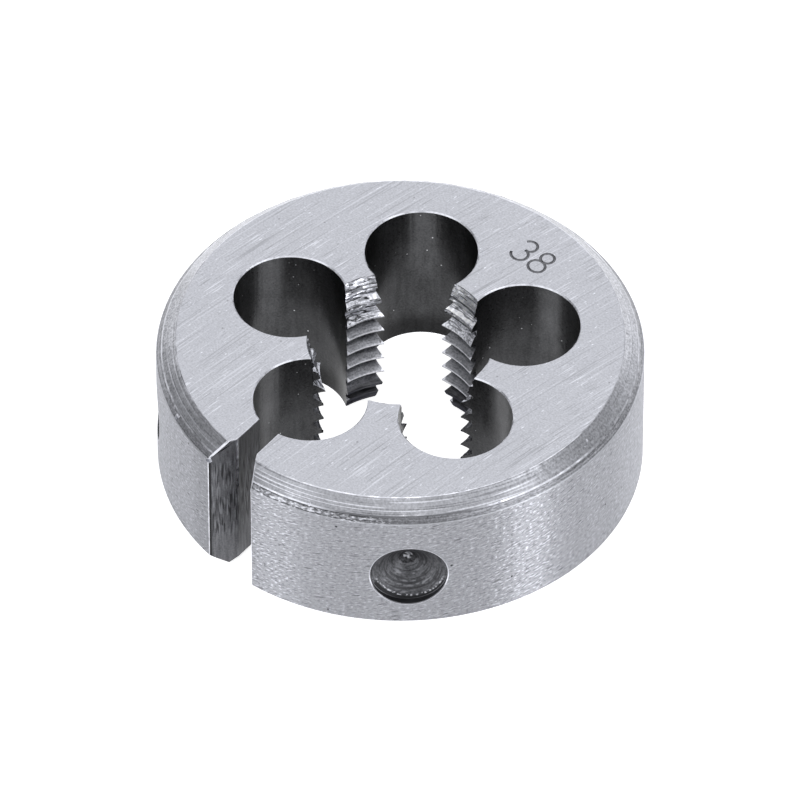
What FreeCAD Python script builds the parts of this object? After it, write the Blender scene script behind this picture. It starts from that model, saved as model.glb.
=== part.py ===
import FreeCAD, Part
import os
import Sketcher

# Round threading die with five chip holes and an adjusting slot, in millimetres.
# The die stands on its lower face: +Z is its axis, and the adjusting notch opens towards -Y.

SIZES = {
    # Blank: a turned disc
    "rim_diameter": 38.0,
    "thickness": 13.4,
    "face_diameter": 34.88,
    "ridge_diameter": 37.1,
    "upper_ridge_drop": 1.01,
    "upper_shoulder_drop": 1.51,
    "lower_ridge_rise": 0.96,
    "lower_shoulder_rise": 1.41,
    # Thread: right-hand, sixty degree form
    "crest_diameter": 12.6,
    "pitch": 1.5,
    "crest_flat": 0.12,
    "root_flat": 0.42,
    "flank_slope": 30.0,
    "crest_height": 1.43,
    # Lead cones at both ends of the thread
    "entry_diameter": 14.6,
    "entry_depth": 3.2,
    "exit_diameter": 14.35,
    "exit_depth": 2.5,
    # Chip holes
    "hole_count": 5,
    "hole_diameter": 8.88,
    "hole_ring_diameter": 19.36,
    "hole_turn": 268.2,
    "hole_bevel": 0.1,
    # Adjusting slot, sawn a little off the radius, and the notch for the spreading screw
    "slot_width": 2.15,
    "slot_turn": 6.9,
    "slot_shift": 2.2,
    "slot_foot_bevel": 0.5,
    "notch_angle": 60.0,
    "notch_turn": 2.8,
    "notch_shift": 1.06,
    "notch_root": 14.84,
    # Dimples for the holder's screws
    "dimple_diameter": 6.0,
    "dimple_wall": 0.55,
    "dimple_depth": 2.6,
    "dimple_height": 6.29,
    "dimple_turn": 46.1,
    # How far a cutting profile runs past the surface that it opens
    "overrun": 1.0,
}


def make_sheet(doc):
    """Writes each driving size into a cell of its own, under its name."""
    sheet = doc.addObject("Spreadsheet::Sheet", "Sizes")
    for row, (name, value) in enumerate(SIZES.items(), start=1):
        sheet.set(f"A{row}", name)
        sheet.set(f"B{row}", str(value))
        sheet.setAlias(f"B{row}", name)
    doc.recompute()
    return sheet


def size(formula):
    """Turns a formula in size names into one that reads them from the sheet."""
    for name in SIZES:
        formula = formula.replace(f"<{name}>", f"Sizes.{name}")
    return formula


def origin_plane(body, role):
    return next(feature for feature in body.Origin.OriginFeatures if feature.Role == role)


def new_sketch(body, name, role, turn="0", shift=("0", "0", "0"), tilt="0"):
    """Attaches a sketch to one of the body's planes, shifted, turned about +Z and tilted about its X."""
    sketch = body.newObject("Sketcher::SketchObject", name)
    sketch.AttachmentSupport = [(origin_plane(body, role), "")]
    sketch.MapMode = "FlatFace"
    upright = "vector(0; 1; 0)" if role == "XZ_Plane" else "vector(0; 0; 1)"
    turned = f"rotation({upright}; {turn}) * rotation(vector(1; 0; 0); {tilt})"
    placement = f"placement(vector({'; '.join(shift)}); {turned})"
    sketch.setExpression("AttachmentOffset", size(placement))
    return sketch


def draw_outline(sketch, corners):
    """Closes straight edges through corners that are given as pairs of formulas."""
    corners = [[size(formula) for formula in corner] for corner in corners]
    points = [FreeCAD.Vector(*[float(sketch.evalExpression(f)) for f in corner]) for corner in corners]
    count = len(points)
    for i in range(count):
        sketch.addGeometry(Part.LineSegment(points[i], points[(i + 1) % count]))
    for i in range(count):
        sketch.addConstraint(Sketcher.Constraint("Coincident", i, 2, (i + 1) % count, 1))
    for i, corner in enumerate(corners):
        for kind, formula, value in zip(("DistanceX", "DistanceY"), corner, points[i]):
            index = sketch.addConstraint(Sketcher.Constraint(kind, -1, 1, i, 1, value))
            sketch.setExpression(f"Constraints[{index}]", formula)


def turn_profile(body, kind, name, sketch, axis="V_Axis"):
    """Revolves a sketch once round one of its own axes, as a solid or as a cut."""
    feature = body.newObject(kind, name)
    feature.Profile = sketch
    feature.ReferenceAxis = (sketch, [axis])
    feature.Angle = 360
    sketch.Visibility = False
    return feature


def cut_through(body, name, sketch):
    """Cuts a sketch of the lower face up through the whole thickness."""
    pocket = body.newObject("PartDesign::Pocket", name)
    pocket.Profile = sketch
    pocket.Type = "ThroughAll"
    pocket.Reversed = True
    sketch.Visibility = False
    return pocket


def make_blank(body):
    """The disc, with a two-stage edge above and below."""
    sketch = new_sketch(body, "BlankProfile", "XZ_Plane")
    draw_outline(sketch, [
        ("0", "0"),
        ("<face_diameter> / 2", "0"),
        ("<ridge_diameter> / 2", "<lower_ridge_rise>"),
        ("<rim_diameter> / 2", "<lower_shoulder_rise>"),
        ("<rim_diameter> / 2", "<thickness> - <upper_shoulder_drop>"),
        ("<ridge_diameter> / 2", "<thickness> - <upper_ridge_drop>"),
        ("<face_diameter> / 2", "<thickness>"),
        ("0", "<thickness>"),
    ])
    turn_profile(body, "PartDesign::Revolution", "Blank", sketch)


def make_bore(body):
    """The bore at crest size, with the lead cones that open at both faces."""
    sketch = new_sketch(body, "BoreProfile", "XZ_Plane")
    entry_run = "(<entry_diameter> - <crest_diameter>) / 2 * <overrun> / <entry_depth>"
    exit_run = "(<exit_diameter> - <crest_diameter>) / 2 * <overrun> / <exit_depth>"
    draw_outline(sketch, [
        ("0", "-<overrun>"),
        (f"<exit_diameter> / 2 + {exit_run}", "-<overrun>"),
        ("<crest_diameter> / 2", "<exit_depth>"),
        ("<crest_diameter> / 2", "<thickness> - <entry_depth>"),
        (f"<entry_diameter> / 2 + {entry_run}", "<thickness> + <overrun>"),
        ("0", "<thickness> + <overrun>"),
    ])
    turn_profile(body, "PartDesign::Groove", "Bore", sketch)


def make_thread(body):
    """The thread, land by land: rings of the groove's section, tilted to the helix and a pitch apart."""
    crest_half = "(<pitch> - <crest_flat>) / 2"
    depth = "(<pitch> - <crest_flat> - <root_flat>) / 2 / tan(<flank_slope>)"
    # The groove widens inward past the crests, to just under one pitch
    clearing = "0.8 * <crest_flat> / 2"
    inner = f"<crest_diameter> / 2 - {clearing} / tan(<flank_slope>)"
    outer = f"<crest_diameter> / 2 + {depth}"
    helix_slope = "atan(<pitch> / (pi * <crest_diameter>))"
    for land in range(int(SIZES["hole_count"])):
        turn = f"<hole_turn> + ({land} + 0.5) * 360 / <hole_count>"
        lowest = f"<crest_height> + <pitch> * (mod({turn}; 360) / 360 - 2.5)"
        sketch = new_sketch(body, f"ThreadProfile{land}", "XZ_Plane", turn, ("0", lowest, "0"), helix_slope)
        draw_outline(sketch, [
            (inner, f"-{crest_half} - {clearing}"),
            (outer, "-<root_flat> / 2"),
            (outer, "<root_flat> / 2"),
            (inner, f"{crest_half} + {clearing}"),
        ])
        ring = turn_profile(body, "PartDesign::Groove", f"ThreadRing{land}", sketch)
        ring.Midplane = True
        ring.setExpression("Angle", size("360 / <hole_count>"))
        rings = body.newObject("PartDesign::LinearPattern", f"Thread{land}")
        rings.Originals = [ring]
        rings.Direction = (origin_plane(body, "Z_Axis"), [""])
        rings.Mode = "Spacing"
        rings.setExpression("Offset", size("<pitch>"))
        rings.setExpression("Occurrences", size("ceil(<thickness> / <pitch>) + 3"))
        body.Tip = rings


def make_chip_holes(body):
    """The ring of chip holes, each bevelled at both faces, which leave the toothed lands between them."""
    ring = "<hole_ring_diameter> / 2"
    centre = (f"{ring} * cos(<hole_turn>)", "0", f"-{ring} * sin(<hole_turn>)")
    sketch = new_sketch(body, "HoleProfile", "XZ_Plane", "<hole_turn>", centre)
    wide = "<hole_diameter> / 2 + <hole_bevel> + <overrun>"
    draw_outline(sketch, [
        ("0", "-<overrun>"),
        (wide, "-<overrun>"),
        ("<hole_diameter> / 2", "<hole_bevel>"),
        ("<hole_diameter> / 2", "<thickness> - <hole_bevel>"),
        (wide, "<thickness> + <overrun>"),
        ("0", "<thickness> + <overrun>"),
    ])
    hole = turn_profile(body, "PartDesign::Groove", "ChipHole", sketch)
    holes = body.newObject("PartDesign::PolarPattern", "ChipHoles")
    holes.Originals = [hole]
    holes.Axis = (origin_plane(body, "Z_Axis"), [""])
    holes.Angle = 360
    holes.setExpression("Occurrences", size("<hole_count>"))
    body.Tip = holes


def make_slot(body):
    """The adjusting slot, from the front chip hole out through the rim."""
    sketch = new_sketch(body, "SlotOutline", "XY_Plane", "<slot_turn>")
    left = "-<slot_shift> - <slot_width> / 2"
    right = "-<slot_shift> + <slot_width> / 2"
    inside = "-<hole_ring_diameter> / 2"
    outside = "-<rim_diameter> / 2 - <overrun>"
    draw_outline(sketch, [(left, inside), (left, outside), (right, outside), (right, inside)])
    cut_through(body, "Slot", sketch)


def make_slot_bevel(body):
    """The bevel along the slot's two lower edges, cut from the front chip hole's middle outwards."""
    start = "<hole_ring_diameter> / 2"
    origin = (f"{start} * sin(<slot_turn>)", "0", f"{start} * cos(<slot_turn>)")
    sketch = new_sketch(body, "SlotBevelProfile", "XZ_Plane", "<slot_turn>", origin)
    narrow = "<slot_width> / 2"
    wide = "<slot_width> / 2 + <slot_foot_bevel> + <overrun>"
    draw_outline(sketch, [
        (f"-<slot_shift> - ({narrow})", "<slot_foot_bevel>"),
        (f"-<slot_shift> - ({wide})", "-<overrun>"),
        (f"-<slot_shift> + ({wide})", "-<overrun>"),
        (f"-<slot_shift> + ({narrow})", "<slot_foot_bevel>"),
    ])
    bevel = body.newObject("PartDesign::Pocket", "SlotBevel")
    bevel.Profile = sketch
    bevel.setExpression("Length", size(f"<rim_diameter> / 2 - {start} + <overrun>"))
    bevel.Reversed = True
    sketch.Visibility = False


def make_notch(body):
    """The V notch at the slot's mouth, which takes the spreading screw's point."""
    sketch = new_sketch(body, "NotchOutline", "XY_Plane", "<notch_turn>")
    outside = "<rim_diameter> / 2 + <overrun>"
    half = f"({outside} - <notch_root>) * tan(<notch_angle> / 2)"
    draw_outline(sketch, [
        ("-<notch_shift>", "-<notch_root>"),
        (f"-<notch_shift> - {half}", f"-({outside})"),
        (f"-<notch_shift> + {half}", f"-({outside})"),
    ])
    cut_through(body, "Notch", sketch)


def make_dimples(body):
    """Two drilled seats for the holder's screws, alike on both sides of the notch."""
    sketch = new_sketch(body, "DimpleProfile", "XY_Plane", "<dimple_turn> - 90", ("0", "0", "<dimple_height>"))
    rim = "<rim_diameter> / 2"
    draw_outline(sketch, [
        (f"{rim} - <dimple_depth>", "0"),
        (f"{rim} - <dimple_wall>", "<dimple_diameter> / 2"),
        (f"{rim} + <overrun>", "<dimple_diameter> / 2"),
        (f"{rim} + <overrun>", "0"),
    ])
    dimple = turn_profile(body, "PartDesign::Groove", "Dimple", sketch, "H_Axis")
    pair = body.newObject("PartDesign::Mirrored", "Dimples")
    pair.Originals = [dimple]
    pair.MirrorPlane = (origin_plane(body, "YZ_Plane"), [""])
    body.Tip = pair


def make_die(doc):
    body = doc.addObject("PartDesign::Body", "Die")
    body.Label = "die_body"
    steps = [make_blank, make_bore, make_chip_holes, make_thread, make_slot, make_slot_bevel, make_notch, make_dimples]
    volume = None
    for step in steps:
        step(body)
        doc.recompute()
        if volume is not None and body.Shape.Volume >= volume:
            raise RuntimeError(f"{step.__name__} took no material away")
        volume = body.Shape.Volume
    return body


def check_and_write(doc, bodies):
    """Stops on a failed object or an unsound shape, and writes each sub-part."""
    failed = [item.Name for item in doc.Objects if {"Invalid", "Error"} & set(item.State)]
    if failed:
        raise RuntimeError(f"failed objects: {failed}")
    for body in bodies:
        if body.Shape.isNull() or not body.Shape.isValid() or len(body.Shape.Solids) != 1:
            raise RuntimeError(f"{body.Label} is not one sound solid")
    os.makedirs("parts", exist_ok=True)
    for body in bodies:
        body.Shape.exportStep(f"parts/{body.Label}.step")


document = FreeCAD.newDocument("ThreadingDie")
make_sheet(document)
check_and_write(document, [make_die(document)])
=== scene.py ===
import math

import bmesh
import bpy
from mathutils import Matrix, Vector, noise


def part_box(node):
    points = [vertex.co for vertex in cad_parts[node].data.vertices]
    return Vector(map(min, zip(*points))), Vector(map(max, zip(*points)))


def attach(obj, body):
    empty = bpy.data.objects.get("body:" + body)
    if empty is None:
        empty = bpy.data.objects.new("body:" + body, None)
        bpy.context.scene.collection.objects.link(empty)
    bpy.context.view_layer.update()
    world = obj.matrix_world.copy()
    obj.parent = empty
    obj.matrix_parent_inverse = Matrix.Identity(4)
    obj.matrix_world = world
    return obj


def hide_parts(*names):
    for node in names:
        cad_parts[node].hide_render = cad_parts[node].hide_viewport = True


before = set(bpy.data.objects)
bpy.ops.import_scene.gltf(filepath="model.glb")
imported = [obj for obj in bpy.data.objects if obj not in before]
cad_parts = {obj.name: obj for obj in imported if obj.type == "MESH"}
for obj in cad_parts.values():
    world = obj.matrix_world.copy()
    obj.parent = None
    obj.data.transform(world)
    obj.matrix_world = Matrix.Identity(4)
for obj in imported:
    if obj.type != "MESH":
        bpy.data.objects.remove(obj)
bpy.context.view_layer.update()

MM = 0.001
BODY = "root"
NODE = "die_body"

# Sizes of the die in metres, as its CAD source has them
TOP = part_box(NODE)[1].z
RIM_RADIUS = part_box(NODE)[1].x
FACE_RADIUS = 17.44 * MM
RIDGE_RADIUS = 18.55 * MM
HOLE_COUNT = 5
HOLE_RADIUS = 4.44 * MM
HOLE_BEVEL = 0.1 * MM
HOLE_RING_RADIUS = 9.68 * MM
HOLE_TURN = math.radians(268.2)
CREST_RADIUS = 6.3 * MM
THREAD_REACH = 7.36 * MM
PITCH = 1.5 * MM
CREST_CLIMB = 0.305 * MM
SLOT_TURN = math.radians(6.9)
DIMPLE_TURN = math.radians(46.1)
DIMPLE_HEIGHT = 6.29 * MM
DIMPLE_RADIUS = 3.0 * MM

# Camera: from above the right-hand side of the notch
CAMERA_TURN = math.radians(44.05)
CAMERA_ELEVATION = math.radians(45.09)
CAMERA_DISTANCE = 983.33 * MM
CAMERA_AIM = Vector((0.0, 0.0, 7.247 * MM))
CAMERA_LENS = 567.6
CAMERA_SHIFT = (-0.0003, -0.0085)

# Light: the room's level near the horizon and overhead, each before and behind the die, and the glow
# along the horizon behind it. The dark sides each have a turn from the camera, the cosines at which
# they start and end, and a share of the light. The upright softboxes have a turn, a half width, a
# strength, and the share of it that is left high up. The blur is half the width of their soft sides.
ROOM_COLOUR = (0.97, 0.98, 1.0, 1.0)
ROOM_LOW = (0.42, 0.76)
ROOM_HIGH = (0.92, 1.14)
HORIZON = 1.3
DARK_SIDES = [(-110.0, 0.75, 0.9, 0.45), (95.0, 0.82, 0.95, 0.72)]
SOFTBOXES = [(55.0, 8.0, 6.6, 0.12), (-54.0, 9.0, 2.9, 0.22)]
SOFTBOX_BLUR = 4.0
# Where each of them starts and is full: by height, as the sine of the elevation
OVERHEAD = (0.1, 0.75)
DARK_ABOVE = (0.12, 0.3)
NEAR_HORIZON = (0.22, 0.06)
SOFTBOX_FOOT = (-0.05, 0.1)
SOFTBOX_TOP = (0.85, 0.78)
SOFTBOX_HIGH = (0.22, 0.5)
# And by how far it lies behind the die, as a cosine
BEHIND_LOW = (0.5, 1.0)
BEHIND_HIGH = (-0.8, 0.8)
BEHIND_HORIZON = (0.1, 0.6)

# Floor: half its width in metres, and how brightly it is seen and mirrored
FLOOR_HALF = 2.0
FLOOR_COLOUR = (0.8, 0.8, 0.81, 1.0)
FLOOR_SEEN = 0.86
FLOOR_MIRRORED = 0.8

# Engraved number, which is the rim's diameter in mm: its place on the upper face, as a radius and a
# turn, the way that it reads, and the size of its figures
NUMBER = "38"
NUMBER_PLACE = (13.7 * MM, math.radians(84.0))
NUMBER_DIRECTION = math.radians(-2.0)
FIGURE_HEIGHT = 2.4 * MM
FIGURE_PITCH = 1.85 * MM
CUTTER_RADIUS = 0.12 * MM

# Stretches of the rim are given by two turns in degrees from +X, and fade out over some degrees more.
# These are the ones where the lower cone looks like the wall and is lighter: partly a shallower cone,
# partly a painted highlight where the wall's highlights fall
SHALLOW_LIT_BAND = [(-29.0, -9.0), (274.0, 294.0)]
# Where the lower cone's metal is torn
TORN_BAND = (-84.0, -56.0)
# Where the wall's metal is torn up the most
TORN_WALL = [(-21.0, -9.0), (276.0, 286.0)]
# Where the wall is painted paler: a painted sheen along both of its sides, where it turns away
WALL_SHEEN = [(215.0, 254.0), (8.0, 48.0)]
# Where the upper cone's turned rings are fresh, and where half as fresh
FRESH_TURNING = (-86.0, -19.0)
HALF_FRESH_TURNING = (234.0, 264.0)
# Where the upper cone has painted shade on one side, and a painted highlight on the other
SHADED_CONE_SIDE = (205.0, 238.0)
LIT_CONE_SIDE = (12.0, 38.0)
# Where the ridge between the cones is dull
DULL_RIDGE = (-58.0, -32.0)
# Where the turned edges are darker
DARKER_EDGES = [(195.0, 258.0), (10.0, 70.0)]
# The land whose lead is the least galled
SMOOTH_LEAD = (60.0, 116.0)

# How hollow the upper cone is, as a share of its relief per square millimetre
HOLLOW = 3.5
# The point, in mm, round which the grinding lines on the flat faces curve
GRINDING_CENTRE = (239.4, -16.7)

# Wear of the teeth, in mm: the heights between which the lead's wear grows full, and those between
# which its metal turns galled. Then how far metal is moved in or out, and up or down: first anywhere,
# and then as much more on the lead
LEAD = (8.6, 10.6)
GALLED = (8.7, 10.2)
TEETH_TORN = (0.012, 0.085)
TEETH_SAGGED = (0.012, 0.08)
# The share of the lead's wear that its smoothest land has
SMOOTH_LEAD_WEAR = 0.45
# Lands whose crests are worn lower: the turn of each in degrees, and the radius in mm that they keep
WORN_LANDS = [(232.0, 6.5), (16.0, 6.37)]
# How far such a land reaches to each side, in degrees, and up to which height it is worn, in mm
WORN_LAND_REACH = 25.0
WORN_LAND_TOP = 9.5
# Size of the burrs on the turned edges
RIM_BURR = 0.035 * MM
# Nicks in the turned edges: turn in degrees, radius, height and size in mm
NICKS = [
    (292.0, 18.6, 12.45, 0.16), (338.2, 18.6, 12.45, 0.14), (20.0, 18.6, 12.45, 0.12),
    (247.4, 18.86, 12.2, 0.3), (263.1, 19.0, 11.8, 0.3), (7.2, 18.05, 12.95, 0.12),
    (5.6, 18.2, 12.8, 0.1), (320.5, 18.62, 12.4, 0.1),
]

# How finely the teeth and the rim are divided: cuts through the axis, and steps in height
TEETH_CUTS = 90
RIM_CUTS = 180
TEETH_STEP = 0.25 * MM
LEAD_STEP = 0.11 * MM
# The sharpest angle between two faces of a region that are shaded as one
CREASE = math.radians(28.0)

# Parts of the surface, each with a finish of its own
GROUND, TURNED, BAND, RIM, HOLE, SLOT, NOTCH, THREAD, DIMPLE, EDGE, MARK = range(11)


def link(thing):
    bpy.context.scene.collection.objects.link(thing)
    return thing


def polar(radius, turn, height=0.0):
    return Vector((radius * math.cos(turn), radius * math.sin(turn), height))


def smooth_step(value, low, high):
    share = min(1.0, max(0.0, (value - low) / (high - low)))
    return share * share * (3.0 - 2.0 * share)


# Camera, light and floor

def toward_camera(turn, elevation):
    flat = math.cos(elevation)
    return Vector((math.sin(turn) * flat, -math.cos(turn) * flat, math.sin(elevation)))


def make_camera():
    camera = link(bpy.data.objects.new("camera", bpy.data.cameras.new("camera")))
    back = toward_camera(CAMERA_TURN, CAMERA_ELEVATION)
    camera.location = CAMERA_AIM + back * CAMERA_DISTANCE
    camera.rotation_euler = back.to_track_quat("Z", "Y").to_euler()
    camera.data.lens = CAMERA_LENS
    camera.data.sensor_width = 36.0
    camera.data.shift_x, camera.data.shift_y = CAMERA_SHIFT
    camera.data.clip_start = 0.05
    camera.data.clip_end = 20.0
    bpy.context.scene.camera = camera


def add_node(tree, kind, inputs=None, **settings):
    """Adds a node. An input that is given a socket is linked, and any other is set."""
    node = tree.nodes.new(kind)
    for name, value in settings.items():
        setattr(node, name, value)
    for name, value in (inputs or {}).items():
        if isinstance(value, bpy.types.NodeSocket):
            tree.links.new(value, node.inputs[name])
        else:
            node.inputs[name].default_value = value
    return node


def make_world():
    """A soft white room: brighter overhead and behind, darker at both sides, with two softboxes."""
    world = bpy.data.worlds.new("studio")
    bpy.context.scene.world = world
    world.use_nodes = True
    tree = world.node_tree
    tree.nodes.clear()

    def vector_math(operation, first, second=(0.0, 0.0, 0.0)):
        inputs = {0: first, 1: second}
        return add_node(tree, "ShaderNodeVectorMath", inputs, operation=operation)

    def ramp(value, low, high, first, last):
        inputs = {0: value, 1: low, 2: high, 3: first, 4: last}
        node = add_node(tree, "ShaderNodeMapRange", inputs, interpolation_type="SMOOTHSTEP")
        return node.outputs[0]

    def combine(operation, first, second):
        inputs = {0: first, 1: second}
        return add_node(tree, "ShaderNodeMath", inputs, operation=operation).outputs[0]

    direction = add_node(tree, "ShaderNodeTexCoord").outputs["Generated"]
    height = add_node(tree, "ShaderNodeSeparateXYZ", {0: direction}).outputs["Z"]
    flat = vector_math("MULTIPLY", direction, (1.0, 1.0, 0.0)).outputs[0]
    level = vector_math("NORMALIZE", flat).outputs[0]

    def facing(turn):
        """How far a direction faces the given turn from the camera, as a cosine."""
        aim = toward_camera(CAMERA_TURN + math.radians(turn), 0.0)
        return vector_math("DOT_PRODUCT", level, aim).outputs["Value"]

    behind = facing(180.0)
    low = ramp(behind, *BEHIND_LOW, *ROOM_LOW)
    high = ramp(behind, *BEHIND_HIGH, *ROOM_HIGH)
    rise = ramp(height, *OVERHEAD, 0.0, 1.0)
    light = add_node(tree, "ShaderNodeMix", {0: rise, 2: low, 3: high}).outputs[0]
    above = ramp(height, *DARK_ABOVE, 0.0, 1.0)
    for turn, start, end, share in DARK_SIDES:
        side = combine("MULTIPLY", ramp(facing(turn), start, end, 0.0, 1.0), above)
        light = combine("MULTIPLY", light, ramp(side, 0.0, 1.0, 1.0, share))
    near_horizon = ramp(height, *NEAR_HORIZON, 0.0, 1.0)
    glow = combine("MULTIPLY", near_horizon, ramp(behind, *BEHIND_HORIZON, 0.0, HORIZON))
    light = combine("ADD", light, glow)
    foot = ramp(height, *SOFTBOX_FOOT, 0.0, 1.0)
    ends = combine("MULTIPLY", foot, ramp(height, *SOFTBOX_TOP, 0.0, 1.0))
    for turn, half_width, strength, share in SOFTBOXES:
        upright = combine("MULTIPLY", ends, ramp(height, *SOFTBOX_HIGH, 1.0, share))
        outer = math.cos(math.radians(half_width + SOFTBOX_BLUR))
        inner = math.cos(math.radians(half_width - SOFTBOX_BLUR))
        soft = ramp(facing(turn), outer, inner, 0.0, strength)
        light = combine("ADD", light, combine("MULTIPLY", soft, upright))
    seen = add_node(tree, "ShaderNodeLightPath").outputs["Is Camera Ray"]
    strength = add_node(tree, "ShaderNodeMix", {0: seen, 2: light, 3: 1.0}).outputs[0]
    inputs = {"Color": ROOM_COLOUR, "Strength": strength}
    background = add_node(tree, "ShaderNodeBackground", inputs)
    add_node(tree, "ShaderNodeOutputWorld", {0: background.outputs[0]})


def make_lamp(name, turn, elevation, distance, size, power):
    lamp = bpy.data.lights.new(name, "AREA")
    lamp.shape = "DISK"
    lamp.size = size
    lamp.energy = power
    thing = link(bpy.data.objects.new(name, lamp))
    back = toward_camera(math.radians(turn), math.radians(elevation))
    thing.location = back * distance
    thing.rotation_euler = back.to_track_quat("Z", "Y").to_euler()


def make_floor():
    mesh = bpy.data.meshes.new("floor")
    signs = [(-1, -1), (1, -1), (1, 1), (-1, 1)]
    corners = [(x * FLOOR_HALF, y * FLOOR_HALF, 0.0) for x, y in signs]
    mesh.from_pydata(corners, [], [(0, 1, 2, 3)])
    floor = link(bpy.data.objects.new("floor", mesh))
    material = bpy.data.materials.new("floor")
    material.use_nodes = True
    tree = material.node_tree
    tree.nodes.clear()

    def scaled(value, factor):
        inputs = {0: value, 1: factor}
        return add_node(tree, "ShaderNodeMath", inputs, operation="MULTIPLY").outputs[0]

    path = add_node(tree, "ShaderNodeLightPath").outputs
    seen = scaled(path["Is Camera Ray"], FLOOR_SEEN)
    mirrored = scaled(path["Is Glossy Ray"], FLOOR_MIRRORED)
    strength = add_node(tree, "ShaderNodeMath", {0: seen, 1: mirrored}).outputs[0]
    inputs = {"Color": (1.0, 1.0, 1.0, 1.0), "Strength": strength}
    glow = add_node(tree, "ShaderNodeEmission", inputs)
    matt = add_node(tree, "ShaderNodeBsdfDiffuse", {"Color": FLOOR_COLOUR})
    both = add_node(tree, "ShaderNodeAddShader", {0: matt.outputs[0], 1: glow.outputs[0]})
    add_node(tree, "ShaderNodeOutputMaterial", {"Surface": both.outputs[0]})
    mesh.materials.append(material)


# Steel finishes

class Finish:
    """A steel finish whose patterns are laid out in millimetres on the die."""

    def __init__(self, name):
        self.material = bpy.data.materials.new(f"{name}_steel")
        self.material.use_nodes = True
        self.tree = self.material.node_tree
        self.shader = self.tree.nodes["Principled BSDF"]
        self.shader.inputs["Metallic"].default_value = 1.0
        inputs = {0: self.add("ShaderNodeTexCoord").outputs["Object"], "Scale": 1.0 / MM}
        self.place = self.add("ShaderNodeVectorMath", inputs, operation="SCALE").outputs[0]
        self.x, self.y, self.z = self.add("ShaderNodeSeparateXYZ", {0: self.place}).outputs
        self.radius = self.distance(self.x, self.y)
        # The turn counts clockwise from +Y, up to half a turn each way, with its seam in the notch
        self.turn = self.math("ARCTAN2", self.x, self.y)
        self.arc = self.times(self.turn, RIM_RADIUS / MM)

    def add(self, kind, inputs=None, **settings):
        return add_node(self.tree, kind, inputs, **settings)

    def math(self, operation, first, second=0.0, third=0.0):
        inputs = {0: first, 1: second, 2: third}
        return self.add("ShaderNodeMath", inputs, operation=operation).outputs[0]

    def plus(self, first, *others):
        for other in others:
            first = self.math("ADD", first, other)
        return first

    def minus(self, first, second):
        return self.math("SUBTRACT", first, second)

    def times(self, first, *others):
        for other in others:
            first = self.math("MULTIPLY", first, other)
        return first

    def distance(self, first, second):
        squares = [self.times(length, length) for length in (first, second)]
        return self.math("SQRT", self.plus(*squares))

    def mix(self, share, first, second):
        return self.add("ShaderNodeMix", {0: share, 2: first, 3: second}).outputs[0]

    def window(self, value, low, high):
        """Rises from 0 to 1 as the value goes from low to high, or falls where low is the higher."""
        inputs = {0: value, 1: low, 2: high, 3: 0.0, 4: 1.0}
        node = self.add("ShaderNodeMapRange", inputs, interpolation_type="SMOOTHSTEP")
        return node.outputs[0]

    def between(self, value, rise, fall):
        """One from the end of the rise to the end of the fall, which each have a start and an end."""
        return self.times(self.window(value, *rise), self.window(value, *fall))

    def spread(self, value, low, high):
        """Stretches a noise, whose values lie about one half, to run from low to high."""
        inputs = {0: value, 1: 0.3, 2: 0.7, 3: low, 4: high}
        return self.add("ShaderNodeMapRange", inputs).outputs[0]

    def noise(self, vector, scale=1.0, detail=0.0, roughness=0.5, distortion=0.0):
        inputs = {
            "Vector": vector, "Scale": scale, "Detail": detail,
            "Roughness": roughness, "Distortion": distortion,
        }
        return self.add("ShaderNodeTexNoise", inputs).outputs[0]

    def pattern(self, axes, scales, **shape):
        """Noise laid out along three values in mm, with so many lobes to the mm along each."""
        joined = self.add("ShaderNodeCombineXYZ", dict(enumerate(axes))).outputs[0]
        inputs = {0: joined, 1: scales}
        vector = self.add("ShaderNodeVectorMath", inputs, operation="MULTIPLY").outputs[0]
        return self.noise(vector, **shape)

    def spots(self, scale, low, high):
        """Small round spots, one in each cell at most."""
        inputs = {"Vector": self.place, "Scale": scale}
        distance = self.add("ShaderNodeTexVoronoi", inputs).outputs["Distance"]
        return self.window(distance, high, low)

    def stretch_of_rim(self, first, last, soft=7.0):
        """One along the stretch of the rim between two turns in degrees, and zero elsewhere."""
        ends = [math.radians(90.0 - turn) for turn in (last, first)]
        low, high = [math.remainder(end, math.tau) for end in ends]
        fade = math.radians(soft)
        return self.between(self.turn, (low - fade, low), (high + fade, high))

    def scaled(self, value, share, factor):
        """Scales the value by the factor where the share is one."""
        return self.times(value, self.mix(share, 1.0, factor))

    def mark(self, value, pattern, fade, tone, strength=1.0):
        """Takes the value to a tone, by the given strength, where the pattern is past the fade."""
        return self.mix(self.times(self.window(pattern, *fade), strength), value, tone)

    def grey(self, value, tone=(0.972, 0.983, 1.05)):
        """A grey of that value, turned slightly to the steel's tone."""
        joined = self.add("ShaderNodeCombineXYZ", {0: value, 1: value, 2: value}).outputs[0]
        inputs = {0: joined, 1: tone}
        return self.add("ShaderNodeVectorMath", inputs, operation="MULTIPLY").outputs[0]

    def slope(self):
        """The direction across the rings of a turned surface: up a wall, or down a cone."""
        normal = self.add("ShaderNodeNewGeometry").outputs["Normal"]
        inputs = {0: (0.0, 0.0, 1.0), 1: normal}
        along = self.add("ShaderNodeVectorMath", inputs, operation="CROSS_PRODUCT").outputs[0]
        inputs = {0: normal, 1: along}
        return self.add("ShaderNodeVectorMath", inputs, operation="CROSS_PRODUCT").outputs[0]

    def set(self, value, rough, relief, depth, across=None, spread=0.0):
        """Sets the shader. Light spreads further in the direction across, as over fine scratches."""
        inputs = {"Strength": 1.0, "Distance": depth * MM, "Height": relief}
        bump = self.add("ShaderNodeBump", inputs).outputs[0]
        self.tree.links.new(value, self.shader.inputs["Base Color"])
        self.tree.links.new(rough, self.shader.inputs["Roughness"])
        self.tree.links.new(bump, self.shader.inputs["Normal"])
        if across is not None:
            self.shader.inputs["Anisotropic"].default_value = spread
            self.tree.links.new(across, self.shader.inputs["Tangent"])
        return self.material


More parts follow.
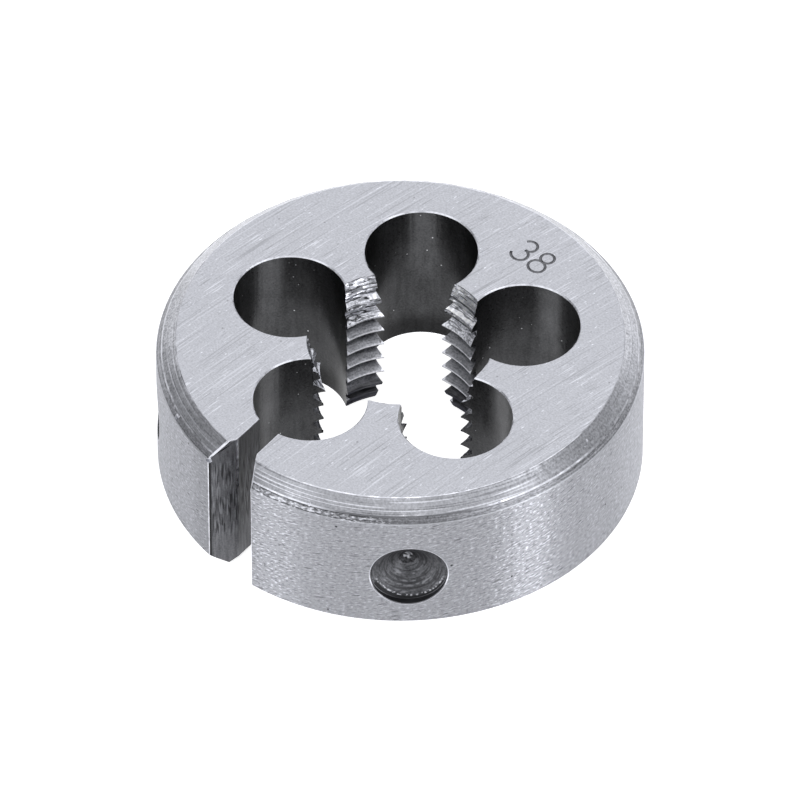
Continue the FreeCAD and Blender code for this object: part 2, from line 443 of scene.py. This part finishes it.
def ground_steel():
    """The flat faces: long thin grinding lines, some short dashes, small nicks and pits."""
    f = Finish("ground")
    x = f.minus(GRINDING_CENTRE[0], f.x)
    y = f.minus(f.y, GRINDING_CENTRE[1])
    across = f.distance(x, y)
    along = f.times(f.math("ARCTAN2", y, x), GRINDING_CENTRE[0])
    broad = f.pattern((across, along, 0.0), (1.6, 0.05, 1.0), detail=2.0)
    lines = f.pattern((across, along, 3.0), (6.5, 0.1, 1.0))
    scratches = f.pattern((across, along, 7.0), (9.5, 0.35, 1.0))
    dashes = f.pattern((across, along, 11.0), (7.0, 1.6, 1.0), detail=1.0)
    worked = f.window(f.noise(f.place, scale=0.35, detail=2.0), 0.36, 0.6)
    grain = f.noise(f.place, scale=6.5, detail=2.0)
    value = f.plus(f.spread(broad, 0.55, 0.57), f.spread(grain, -0.08, 0.08))
    value = f.mark(value, lines, (0.33, 0.25), tone=0.34, strength=0.5)
    value = f.mark(value, lines, (0.68, 0.76), tone=0.84, strength=0.4)
    value = f.mark(value, scratches, (0.7, 0.75), tone=0.95, strength=f.times(worked, 0.5))
    value = f.mark(value, scratches, (0.29, 0.23), tone=0.28, strength=f.times(worked, 0.6))
    value = f.mark(value, dashes, (0.7, 0.78), tone=1.0, strength=0.8)
    value = f.mark(value, dashes, (0.29, 0.22), tone=0.3, strength=0.6)
    pits = f.times(f.spots(0.5, 0.03, 0.06), 0.6)
    value = f.mix(pits, value, 0.2)
    relief = f.plus(lines, f.times(grain, 0.4))
    return f.set(f.grey(value), f.spread(grain, 0.36, 0.44), relief, 0.005)


def turned_steel():
    """The upper cone: fine crisp rings from the turning tool, and small flecks."""
    f = Finish("turned")
    rings = f.pattern((f.radius, f.arc, f.z), (3.4, 0.03, 3.4), detail=1.0)
    lines = f.pattern((f.radius, f.arc, f.z), (8.2, 0.1, 8.2))
    patches = f.noise(f.place, scale=0.3, detail=3.0)
    flecks = f.noise(f.place, scale=5.5, detail=1.0)
    half_fresh = f.times(f.stretch_of_rim(*HALF_FRESH_TURNING), 0.55)
    fresh = f.plus(f.stretch_of_rim(*FRESH_TURNING, 12.0), half_fresh)
    value = f.plus(f.spread(rings, 0.415, 0.44), f.spread(patches, -0.03, 0.03))
    # Painted shade on one side of the upper cone, and a painted highlight on the other
    value = f.scaled(value, f.stretch_of_rim(*SHADED_CONE_SIDE, 10.0), 0.8)
    value = f.scaled(value, f.stretch_of_rim(*LIT_CONE_SIDE, 10.0), 1.08)
    value = f.mark(value, lines, (0.4, 0.34), tone=0.16, strength=f.mix(fresh, 0.15, 0.5))
    value = f.mark(value, lines, (0.62, 0.68), tone=0.95, strength=f.mix(fresh, 0.1, 0.6))
    value = f.plus(value, f.times(f.spread(flecks, -0.12, 0.12), f.mix(fresh, 1.0, 0.6)))
    value = f.scaled(value, f.window(f.radius, 18.1, 18.4), 0.92)
    middle = f.minus(f.radius, 0.5 * (FACE_RADIUS + RIDGE_RADIUS) / MM)
    hollow = f.times(middle, middle, HOLLOW)
    relief = f.plus(lines, f.times(flecks, 0.4), hollow)
    return f.set(f.grey(value), f.spread(rings, 0.32, 0.38), relief, 0.008, f.slope(), 0.5)


def band_steel():
    """The narrow lower cone: fine dark lines, painted highlights where it is shallower and on one
    side, and broken where torn.
    """
    f = Finish("band")
    rings = f.pattern((f.radius, f.arc, f.z), (8.5, 0.12, 8.5))
    dashes = f.pattern((f.radius, f.arc, f.z), (9.0, 3.0, 9.0), detail=1.0)
    grain = f.noise(f.place, scale=6.5, detail=1.0)
    torn = f.stretch_of_rim(*TORN_BAND, 10.0)
    value = f.plus(f.spread(rings, 0.2, 0.29), f.spread(grain, -0.06, 0.06))
    shallow_and_lit = f.plus(f.spread(dashes, 0.22, 0.36), f.spread(rings, -0.05, 0.05))
    # Lighter where the wall's highlights fall: a shallower cone, and a painted highlight
    for stretch in SHALLOW_LIT_BAND:
        value = f.mix(f.stretch_of_rim(*stretch), value, shallow_and_lit)
    value = f.mark(value, rings, (0.62, 0.68), tone=0.85, strength=f.mix(torn, 0.12, 0.35))
    value = f.mark(value, rings, (0.48, 0.42), tone=0.05, strength=f.mix(torn, 0.08, 0.55))
    value = f.mark(value, dashes, (0.57, 0.63), tone=0.95, strength=f.mix(torn, 0.12, 0.6))
    value = f.mark(value, dashes, (0.46, 0.4), tone=0.05, strength=f.mix(torn, 0.15, 0.6))
    # A dark line at the ridge and a pale one at the foot
    value = f.mark(value, f.radius, (18.68, 18.64), tone=0.05, strength=f.mix(torn, 0.05, 0.7))
    # Painted highlight on the side where the upper cone has it too
    value = f.scaled(value, f.stretch_of_rim(*LIT_CONE_SIDE, 14.0), 1.35)
    value = f.mark(value, f.radius, (18.91, 18.95), tone=0.8, strength=0.45)
    rough = f.spread(rings, 0.38, 0.48)
    return f.set(f.grey(value), rough, f.plus(rings, dashes), 0.008, f.slope(), 0.5)


def dimple_place(f):
    """The distances in mm from the axis of the nearer dimple: away from the notch, up, and in all."""
    height = f.minus(f.z, DIMPLE_HEIGHT / MM)
    side = f.math("ABSOLUTE", f.x)
    across = f.plus(f.times(side, math.cos(DIMPLE_TURN)), f.times(f.y, math.sin(DIMPLE_TURN)))
    return across, height, f.distance(across, height)


def rim_steel():
    """The wall: satin, with short crisp dashes that lie along the rim, and a few pits."""
    f = Finish("rim")
    slanted = f.plus(f.z, f.times(f.arc, 0.16))
    dashes = f.pattern((f.arc, slanted, 0.0), (3.0, 7.0, 1.0))
    longer = f.pattern((f.arc, slanted, 9.0), (1.0, 5.6, 1.0))
    torn = f.plus(*[f.stretch_of_rim(*stretch, 5.0) for stretch in TORN_WALL])
    streaks = f.pattern((f.arc, f.z, 5.0), (0.6, 5.0, 1.0), detail=2.0)
    zones = f.pattern((f.arc, 3.7, 0.0), (0.16, 1.0, 1.0), detail=1.0)
    grain = f.noise(f.place, scale=7.0, detail=1.0)
    value = f.plus(f.spread(zones, 0.39, 0.435), f.spread(grain, -0.055, 0.055))
    value = f.mark(value, dashes, (0.62, 0.7), tone=0.88, strength=f.mix(torn, 0.3, 0.6))
    value = f.mark(value, dashes, (0.38, 0.3), tone=0.14, strength=f.mix(torn, 0.35, 0.55))
    value = f.mark(value, longer, (0.74, 0.78), tone=0.8, strength=0.4)
    value = f.mark(value, longer, (0.27, 0.23), tone=0.12, strength=0.6)
    value = f.mark(value, streaks, (0.34, 0.26), tone=0.24, strength=0.25)
    value = f.mix(f.spots(0.55, 0.04, 0.07), value, 0.08)
    # Painted sheen along both sides of the wall
    for stretch in WALL_SHEEN:
        value = f.scaled(value, f.stretch_of_rim(*stretch), 1.09)
    # Painted highlight: the lips of the dimples shine, as a bright ring all round
    reach = dimple_place(f)[2]
    value = f.mark(value, reach, (3.1, 3.07), tone=0.85)
    rough = f.spread(grain, 0.46, 0.54)
    return f.set(f.grey(value), rough, f.plus(dashes, grain), 0.005, f.slope(), 0.96)


def hole_steel():
    """The chip holes: dark hardening scale, faintly streaked, and painted shade that grows deeper
    down, darkest at the foot.
    """
    f = Finish("hole")
    streaks = f.pattern((f.x, f.y, f.z), (2.0, 2.0, 0.3), detail=2.0)
    grain = f.noise(f.place, scale=6.0, detail=2.0)
    patches = f.noise(f.place, scale=0.45, detail=3.0)
    value = f.plus(f.spread(streaks, 0.07, 0.092), f.spread(grain, -0.02, 0.02))
    value = f.plus(value, f.spread(patches, -0.015, 0.015))
    # Painted shade: a little lighter near the mouth, darker deeper down, and darkest at the foot
    value = f.times(value, f.mix(f.window(f.z, 9.0, 4.0), 1.06, 0.78))
    value = f.scaled(value, f.window(f.z, 3.0, 1.0), 0.35)
    value = f.mix(f.spots(0.9, 0.03, 0.07), value, 0.8)
    colour = f.grey(value, (0.98, 0.99, 1.03))
    return f.set(colour, f.spread(grain, 0.27, 0.34), grain, 0.003, f.slope(), 0.4)


def sawn_steel(name, dark, light):
    """The slot and its notch: dark steel with fine upright marks where the cutter tore it."""
    f = Finish(name)
    marks = f.pattern((f.x, f.y, f.z), (8.0, 8.0, 0.75))
    wander = f.pattern((f.x, f.y, f.z), (5.0, 5.0, 0.4), detail=1.0)
    torn = f.between(f.z, (2.2, 4.5), (11.8, 10.6))
    grain = f.noise(f.place, scale=6.5, detail=2.0)
    value = f.plus(f.spread(wander, dark, light), f.spread(grain, -0.03, 0.03))
    value = f.mark(value, marks, (0.42, 0.32), tone=0.03, strength=f.mix(torn, 0.05, 0.85))
    value = f.mark(value, marks, (0.6, 0.67), tone=2.2 * light, strength=f.mix(torn, 0.04, 0.4))
    value = f.mark(value, wander, (0.36, 0.3), tone=0.02, strength=f.times(torn, 0.6))
    # Painted shade: a dark line along the rim, where the rim's burr shades the outer end
    value = f.mark(value, f.radius, (18.72, 18.84), tone=0.03)
    return f.set(f.grey(value), f.spread(grain, 0.4, 0.52), marks, 0.01)


def thread_steel():
    """The teeth: flanks with fine cutting marks and painted shade at the roots, worn crests with a
    painted highlight above and painted shadow below, and a galled bright lead.
    """
    f = Finish("thread")
    # The height less what the helix has climbed, so that all places on one turn have the same
    climb = f.plus(f.z, f.times(f.turn, PITCH / MM / math.tau))
    marks = f.pattern((f.arc, climb, f.radius), (0.3, 4.5, 4.5), detail=2.0, roughness=0.6)
    layers = f.pattern((f.arc, climb, f.radius), (0.2, 4.4, 1.4), detail=1.0, distortion=0.35)
    grain = f.noise(f.place, scale=6.5, detail=2.0)
    lead = f.window(f.plus(f.z, f.spread(grain, -0.4, 0.4)), *GALLED)
    smooth = f.stretch_of_rim(*SMOOTH_LEAD)
    # How far a place lies above the middle of the crest next to it, along the axis
    half_pitch = PITCH / MM / 2.0
    above = f.math("WRAP", f.minus(climb, CREST_CLIMB / MM), half_pitch, -half_pitch)
    # Painted highlight on the upper half of each crest, as if lit from above, and painted shadow on
    # its lower half and just below it
    crest = f.between(above, (-0.03, 0.0), (0.1, 0.07))
    crest_shadow = f.between(above, (-0.24, -0.18), (-0.02, -0.05))
    # Painted shade: flanks are darker at the roots, deep between the teeth
    flank = f.plus(f.spread(marks, 0.29, 0.54), f.spread(grain, -0.14, 0.14))
    flank = f.scaled(flank, smooth, 0.78)
    clear_of_root_shade = f.window(f.radius, CREST_RADIUS / MM + 0.85, CREST_RADIUS / MM + 0.4)
    flank = f.times(flank, f.mix(clear_of_root_shade, 0.4, 0.9))
    # Painted crest highlight, then painted shadow below the crests
    flank = f.mix(crest, flank, f.spread(grain, 0.45, 0.72))
    flank = f.mix(f.times(crest_shadow, 0.8), flank, 0.05)
    galled = f.mix(smooth, f.spread(marks, 0.62, 0.84), 1.0)
    galled = f.plus(galled, f.spread(grain, -0.2, 0.2))
    galled = f.mark(galled, marks, (0.43, 0.38), tone=0.15, strength=0.6)
    galled = f.mark(galled, layers, (0.57, 0.62), tone=1.0, strength=0.45)
    cracks = f.between(layers, (0.44, 0.4), (0.33, 0.38))
    galled = f.mix(f.scaled(cracks, smooth, 0.8), galled, 0.03)
    # Painted shadow below the crests on the smoothest lead as well
    galled = f.mix(f.times(crest_shadow, smooth, 0.75), galled, 0.04)
    # The last turns, towards the lower face, keep their dark scale
    value = f.mix(f.window(f.z, 2.6, 2.2), flank, f.spread(marks, 0.04, 0.13))
    value = f.mix(lead, value, galled)
    # Dark scale stays dark where it is seen at a flat angle
    f.shader.inputs["Specular Tint"].default_value = (0.3, 0.3, 0.32, 1.0)
    return f.set(f.grey(value), f.spread(grain, 0.32, 0.45), marks, 0.02)


def dimple_steel():
    """The drilled seats: fine rings, a painted highlight low on the cone, where it faces up, and a
    dark wall.
    """
    f = Finish("dimple")
    across, height, reach = dimple_place(f)
    rings = f.pattern((reach, f.x, f.z), (7.0, 0.5, 0.5))
    dashes = f.pattern((reach, f.x, f.z), (7.0, 2.6, 2.6), detail=1.0)
    grain = f.noise(f.place, scale=6.5, detail=2.0)
    specks = f.noise(f.place, scale=5.0)
    low = f.window(height, -0.5, -1.4)
    # The dark foot is deeper on the side of the notch
    deeper = f.times(f.window(across, 0.8, -2.4), 0.12)
    skewed = f.plus(reach, deeper, f.spread(dashes, -0.02, 0.02))
    value = f.plus(f.spread(dashes, 0.085, 0.15), f.spread(grain, -0.035, 0.035))
    value = f.mark(value, rings, (0.42, 0.36), tone=0.035, strength=0.6)
    # Painted highlight: bright ring streaks on the lower half of the cone, which faces up
    bright = f.times(f.window(rings, 0.6, 0.64), low, f.window(dashes, 0.5, 0.56))
    value = f.mix(f.times(bright, 0.6), value, 0.3)
    # From the cone's foot outwards: a speckled line, the dark wall, and its edge
    foot = f.times(f.window(skewed, 2.7, 2.74), low)
    value = f.mark(value, specks, (0.5, 0.6), tone=0.5, strength=foot)
    value = f.mark(value, skewed, (2.81, 2.85), tone=0.03, strength=low)
    value = f.mark(value, reach, (2.95, 2.97), tone=f.spread(rings, 0.05, 0.2), strength=low)
    # The cone's ragged middle, and its point
    ragged = f.plus(reach, f.spread(dashes, -0.12, 0.12))
    value = f.mark(value, ragged, (0.85, 0.6), tone=f.spread(grain, 0.0, 0.06), strength=0.85)
    value = f.mark(value, reach, (0.42, 0.3), tone=f.spread(specks, 0.02, 0.4))
    rough = f.spread(grain, 0.46, 0.58)
    return f.set(f.grey(value), rough, f.plus(rings, dashes), 0.005)


def edge_steel():
    """Deburred edges, bright and a little uneven, but dull along one stretch of the cones' ridge and
    darker along two stretches of the rim, with painted shade on the dimples' lower lips.
    """
    f = Finish("edge")
    grain = f.noise(f.place, scale=2.2, detail=3.0)
    ridge = f.between(f.radius, (18.4, 18.45), (18.7, 18.65))
    dull = f.times(ridge, f.stretch_of_rim(*DULL_RIDGE, 12.0))
    # Painted shade on the lower lips of the dimples, which lie away from the notch
    aside = f.window(f.math("ABSOLUTE", f.x), 8.0, 9.0)
    shaded_lip = f.times(aside, f.between(f.z, (5.6, 4.8), (2.6, 2.8)))
    outside = f.window(f.radius, 17.0, 17.2)
    value = f.spread(grain, 0.6, 1.0)
    for stretch in DARKER_EDGES:
        value = f.scaled(value, f.times(f.stretch_of_rim(*stretch, 10.0), outside), 0.6)
    # Dull ridge stretch, and painted shade on the dimples' lower lips
    value = f.mix(f.math("MAXIMUM", dull, shaded_lip), value, 0.2)
    return f.set(f.grey(value), f.spread(grain, 0.25, 0.45), grain, 0.02)


def mark_steel():
    """The floor of an engraved stroke."""
    f = Finish("mark")
    grain = f.noise(f.place, scale=6.0, detail=2.0)
    return f.set(f.grey(f.spread(grain, 0.14, 0.26)), f.spread(grain, 0.4, 0.55), grain, 0.01)


def make_finishes():
    """The finishes in the order of the parts of the surface."""
    return [
        ground_steel(), turned_steel(), band_steel(), rim_steel(), hole_steel(),
        sawn_steel("slot", 0.09, 0.15), sawn_steel("notch", 0.11, 0.17),
        thread_steel(), dimple_steel(), edge_steel(), mark_steel(),
    ]


# The die's mesh

HOLE_TURNS = [HOLE_TURN + i * math.tau / HOLE_COUNT for i in range(HOLE_COUNT)]
HOLE_CENTRES = [polar(HOLE_RING_RADIUS, turn) for turn in HOLE_TURNS]
DIMPLE_AXES = [
    Vector((side * math.sin(DIMPLE_TURN), -math.cos(DIMPLE_TURN), 0.0)) for side in (1, -1)
]
# The radii between which the dimples lie
DIMPLE_FLOOR = 15.5 * MM
DIMPLE_MOUTH = RIM_RADIUS * 0.9985
# How far a face may lie from the surface that it belongs to
NEAR = 0.01 * MM


def from_hole(point):
    return min((point.xy - centre.xy).length for centre in HOLE_CENTRES)


def in_dimple(point):
    offset = point - Vector((0.0, 0.0, DIMPLE_HEIGHT))
    facing = [axis for axis in DIMPLE_AXES if offset.dot(axis) > 0.0]
    reaches = [(offset - axis * offset.dot(axis)).length for axis in facing]
    return bool(reaches) and min(reaches) < DIMPLE_RADIUS + NEAR


def region_of(face):
    """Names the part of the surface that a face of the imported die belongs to."""
    centre = face.calc_center_median()
    normal = face.normal
    radius = centre.xy.length
    outward = normal.xy.dot(centre.xy) / radius
    if abs(normal.z) > 0.999 and min(centre.z, TOP - centre.z) < NEAR:
        return GROUND
    if DIMPLE_FLOOR < radius < DIMPLE_MOUTH and in_dimple(centre):
        return DIMPLE
    if radius > FACE_RADIUS and outward > 0.5:
        if abs(normal.z) < 0.1:
            return RIM
        return TURNED if radius < RIDGE_RADIUS else BAND
    reach = from_hole(centre) - HOLE_RADIUS
    if reach < NEAR:
        return HOLE
    if reach < HOLE_BEVEL + NEAR and abs(normal.z) > 0.5:
        return EDGE
    if radius < THREAD_REACH:
        return THREAD
    across = abs(normal.x * math.cos(SLOT_TURN) + normal.y * math.sin(SLOT_TURN))
    return SLOT if across > 0.95 * normal.xy.length else NOTCH


def regions_at(element):
    return {face.material_index for face in element.link_faces}


def merged_die():
    """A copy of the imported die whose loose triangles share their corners, sorted into regions."""
    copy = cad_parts[NODE].data.copy()
    if "custom_normal" in copy.attributes:
        copy.attributes.remove(copy.attributes["custom_normal"])
    shape = bmesh.new()
    shape.from_mesh(copy)
    bpy.data.meshes.remove(copy)
    bmesh.ops.remove_doubles(shape, verts=shape.verts, dist=0.002 * MM)
    for face in shape.faces:
        face.material_index = region_of(face)
    return shape


# Engraved number

def arc(centre, width, height, start, stop, steps=14):
    """Points on part of an ellipse, from one angle to another in degrees."""
    angles = [math.radians(start + (stop - start) * i / steps) for i in range(steps + 1)]
    return [(centre[0] + width * math.cos(a), centre[1] + height * math.sin(a)) for a in angles]


# Strokes of each figure, in a cell that is one unit high
FIGURES = {
    "3": [arc((0.3, 0.76), 0.25, 0.24, 160, -90), arc((0.3, 0.27), 0.3, 0.27, 90, -160)],
    "8": [arc((0.32, 0.77), 0.23, 0.23, 90, 450), arc((0.32, 0.27), 0.3, 0.27, 90, 450)],
}


def stroke_tree(material):
    """Geometry Nodes that sweep a round cutter along each stroke."""
    tree = bpy.data.node_groups.new("engraved_stroke", "GeometryNodeTree")
    sockets = tree.interface
    sockets.new_socket("Strokes", in_out="INPUT", socket_type="NodeSocketGeometry")
    width = sockets.new_socket("Cutter radius", in_out="INPUT", socket_type="NodeSocketFloat")
    width.default_value = CUTTER_RADIUS
    sockets.new_socket("Cutters", in_out="OUTPUT", socket_type="NodeSocketGeometry")
    entry = tree.nodes.new("NodeGroupInput").outputs
    leave = tree.nodes.new("NodeGroupOutput").inputs
    inputs = {"Resolution": 10, "Radius": entry["Cutter radius"]}
    circle = add_node(tree, "GeometryNodeCurvePrimitiveCircle", inputs).outputs["Curve"]
    inputs = {"Curve": entry["Strokes"], "Profile Curve": circle, "Fill Caps": True}
    swept = add_node(tree, "GeometryNodeCurveToMesh", inputs).outputs["Mesh"]
    real = add_node(tree, "GeometryNodeRealizeInstances", {"Geometry": swept}).outputs["Geometry"]
    inputs = {"Geometry": real, "Material": material}
    finished = add_node(tree, "GeometryNodeSetMaterial", inputs).outputs["Geometry"]
    tree.links.new(finished, leave["Cutters"])
    return tree, width.identifier


def make_number_cutters(material):
    """Swept cutters for the number, sunk to about half their width in the upper face."""
    curve = bpy.data.curves.new("number", "CURVE")
    curve.dimensions = "3D"
    along = polar(1.0, NUMBER_DIRECTION)
    up = polar(1.0, NUMBER_DIRECTION + math.pi / 2.0)
    half_width = FIGURE_PITCH * len(NUMBER) / 2.0
    origin = polar(*NUMBER_PLACE) - along * half_width - up * FIGURE_HEIGHT / 2.0
    for place, figure in enumerate(NUMBER):
        for stroke in FIGURES[figure]:
            closed = (Vector(stroke[0]) - Vector(stroke[-1])).length < 0.001
            points = stroke[:-1] if closed else stroke
            spline = curve.splines.new("POLY")
            spline.points.add(len(points) - 1)
            spline.use_cyclic_u = closed
            for knot, (x, y) in zip(spline.points, points):
                spot = origin + along * (place * FIGURE_PITCH + x * FIGURE_HEIGHT)
                spot += up * y * FIGURE_HEIGHT
                knot.co = (spot.x, spot.y, TOP + 0.15 * CUTTER_RADIUS, 1.0)
    strokes = link(bpy.data.objects.new("number", curve))
    tree, identifier = stroke_tree(material)
    modifier = strokes.modifiers.new("sweep", "NODES")
    modifier.node_group = tree
    modifier[identifier] = CUTTER_RADIUS
    evaluated = strokes.evaluated_get(bpy.context.evaluated_depsgraph_get())
    mesh = bpy.data.meshes.new_from_object(evaluated)
    bpy.data.objects.remove(strokes)
    return link(bpy.data.objects.new("cutters", mesh))


def cut_away(die, cutters):
    """Cuts the cutters out of the die. The cut surface keeps the cutters' material."""
    cut = die.modifiers.new("cut", "BOOLEAN")
    cut.operation = "DIFFERENCE"
    cut.solver = "EXACT"
    cut.use_self = True
    cut.material_mode = "TRANSFER"
    cut.object = cutters
    evaluated = die.evaluated_get(bpy.context.evaluated_depsgraph_get())
    mesh = bpy.data.meshes.new_from_object(evaluated)
    die.modifiers.clear()
    die.data = mesh
    bpy.data.objects.remove(cutters)


# Wear

def cut_regions(shape, regions, point, normal):
    """Divides the faces of some regions along a plane, in the same order on each run."""
    faces = [face for face in shape.faces if face.material_index in regions]
    edges = dict.fromkeys(edge for face in faces for edge in face.edges)
    corners = dict.fromkeys(vertex for face in faces for vertex in face.verts)
    parts = [*faces, *edges, *corners]
    bmesh.ops.bisect_plane(shape, geom=parts, dist=0.0005 * MM, plane_co=point, plane_no=normal)


def divide_level(shape, regions, height):
    cut_regions(shape, regions, Vector((0.0, 0.0, height)), Vector((0.0, 0.0, 1.0)))


def divide_round(shape, regions, count):
    for i in range(count):
        turn = math.pi * i / count
        normal = Vector((math.sin(turn), -math.cos(turn), 0.0))
        cut_regions(shape, regions, Vector((0.0, 0.0, 0.0)), normal)


def divide_threads(shape):
    """Gives the teeth corners close enough together to be worn one by one, closest at the lead."""
    divide_round(shape, {THREAD}, TEETH_CUTS)
    height = 0.0
    while height < TOP:
        height += LEAD_STEP if height > LEAD[0] * MM else TEETH_STEP
        divide_level(shape, {THREAD}, height)


def divide_rim(shape):
    divide_round(shape, {RIM, BAND, TURNED, EDGE}, RIM_CUTS)


def wear_threads(shape):
    """Roughens the teeth: lightly all over, and in torn layers at the lead, where metal has galled."""
    for vertex in shape.verts:
        if THREAD not in regions_at(vertex):
            continue
        place = vertex.co / MM
        radius = place.xy.length
        turn = math.atan2(place.y, place.x)
        climb = place.z - PITCH / MM * turn / math.tau
        lead = smooth_step(place.z, *LEAD)
        if SMOOTH_LEAD[0] < math.degrees(turn) < SMOOTH_LEAD[1]:
            lead *= SMOOTH_LEAD_WEAR
        torn = noise.noise(Vector((turn * 4.0, climb * 4.5, 1.0)))
        torn += 0.6 * noise.noise(Vector((turn * 12.0, climb * 7.0, 2.0)))
        sagging = noise.noise(Vector((turn * 22.0, climb * 1.2, 4.0)))
        shift = torn * (TEETH_TORN[0] + TEETH_TORN[1] * lead)
        for land, crest in WORN_LANDS:
            from_land = abs(math.degrees(turn) % 360.0 - land)
            if from_land < WORN_LAND_REACH and place.z < WORN_LAND_TOP:
                shift += max(0.0, crest + 0.05 * torn - radius)
        vertex.co.x += place.x / radius * shift * MM
        vertex.co.y += place.y / radius * shift * MM
        if 0.2 < place.z < TOP / MM - 0.2:
            vertex.co.z += sagging * (TEETH_SAGGED[0] + TEETH_SAGGED[1] * lead) * MM


def wear_rim(shape):
    """Leaves small burrs along the turned edges."""
    for vertex in shape.verts:
        regions = regions_at(vertex)
        if EDGE not in regions or not regions & {TURNED, BAND} or regions & {NOTCH, SLOT}:
            continue
        if vertex.co.xy.length < FACE_RADIUS - 0.2 * MM:
            continue
        burr = noise.noise(vertex.co / MM * 1.9) + 0.6 * noise.noise(vertex.co / MM * 5.0)
        worn = vertex.co + vertex.normal * burr * RIM_BURR
        if worn.xy.length < RIM_RADIUS and worn.z < TOP:
            vertex.co = worn


def break_between(shape, pairs, width, segments=1, low=-1.0, slide=True):
    """Breaks the edges between those pairs of regions whose middles lie above low."""
    wanted = [set(pair) for pair in pairs]
    edges = []
    for edge in shape.edges:
        middle = (edge.verts[0].co.z + edge.verts[1].co.z) / 2.0
        if regions_at(edge) in wanted and middle > low and edge.is_manifold:
            edges.append(edge)
    bmesh.ops.bevel(
        shape, geom=edges, offset=width, offset_type="OFFSET", segments=segments, profile=0.5,
        affect="EDGES", clamp_overlap=False, loop_slide=slide, material=EDGE,
    )


def break_edges(shape):
    """Breaks the edges of the notch, the slot, the dimples and the cones."""
    upper = 2.0 * MM
    corner_foot = 8.2 * MM
    notch_mouth = [(NOTCH, BAND), (NOTCH, TURNED), (SLOT, TURNED)]
    break_between(shape, [(NOTCH, RIM)], 0.045 * MM, low=NEAR)
    break_between(shape, notch_mouth, 0.12 * MM, segments=2, low=upper)
    break_between(shape, [(NOTCH, GROUND), (SLOT, GROUND)], 0.07 * MM, segments=2, low=upper)
    divide_level(shape, {NOTCH, SLOT}, corner_foot)
    break_between(shape, [(NOTCH, SLOT)], 0.12 * MM, low=corner_foot)
    break_between(shape, [(DIMPLE, RIM)], 0.06 * MM, slide=False)
    break_between(shape, [(TURNED, BAND)], 0.07 * MM)
    break_between(shape, [(TURNED, GROUND)], 0.035 * MM)
    # The notch's large faces are divided while they are flat
    large = [face for face in shape.faces if face.material_index in (NOTCH, SLOT)]
    bmesh.ops.triangulate(shape, faces=large)


def nick_cutters(material):
    """Small jagged lumps that are cut out of the turned edges."""
    shape = bmesh.new()
    for i, (turn, radius, height, size) in enumerate(NICKS):
        place = polar(radius * MM, math.radians(turn), height * MM)
        matrix = Matrix.Translation(place)
        lump = bmesh.ops.create_icosphere(shape, subdivisions=2, radius=size * MM, matrix=matrix)
        for vertex in lump["verts"]:
            seed = Vector((i * 3.1, 0.0, 0.0))
            jag = 1.0 + 0.6 * noise.noise(seed + vertex.normal * 1.7)
            vertex.co = place + (vertex.co - place) * jag
    mesh = bpy.data.meshes.new("nicks")
    shape.to_mesh(mesh)
    shape.free()
    mesh.materials.append(material)
    return link(bpy.data.objects.new("nicks", mesh))


def edit_mesh(mesh, *steps):
    """Runs each step on the mesh."""
    shape = bmesh.new()
    shape.from_mesh(mesh)
    for step in steps:
        step(shape)
    shape.to_mesh(mesh)
    shape.free()


def settle_faces(shape):
    """Keeps the flat faces flat, and marks where the shading breaks."""
    for vertex in shape.verts:
        if GROUND in regions_at(vertex):
            vertex.co.z = TOP if vertex.co.z > 0.5 * TOP else 0.0
        vertex.co.z = min(TOP, max(0.0, vertex.co.z))
    shape.normal_update()
    for face in shape.faces:
        face.smooth = face.material_index != GROUND
    for edge in shape.edges:
        edge.smooth = len(regions_at(edge)) == 1 and edge.calc_face_angle(0.0) < CREASE


def make_die():
    finishes = make_finishes()
    mesh = bpy.data.meshes.new("die")
    shape = merged_die()
    shape.to_mesh(mesh)
    shape.free()
    for finish in finishes[:MARK]:
        mesh.materials.append(finish)
    die = link(bpy.data.objects.new("die", mesh))
    cut_away(die, make_number_cutters(finishes[MARK]))
    edit_mesh(die.data, break_edges)
    cut_away(die, nick_cutters(finishes[EDGE]))
    edit_mesh(die.data, divide_threads, divide_rim, wear_threads, wear_rim, settle_faces)
    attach(die, BODY)
    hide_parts(NODE)


make_camera()
make_world()
make_lamp("key_lamp", turn=44.0, elevation=80.0, distance=0.6, size=0.2, power=0.5)
make_floor()
bpy.context.scene.view_settings.view_transform = "Standard"
make_die()
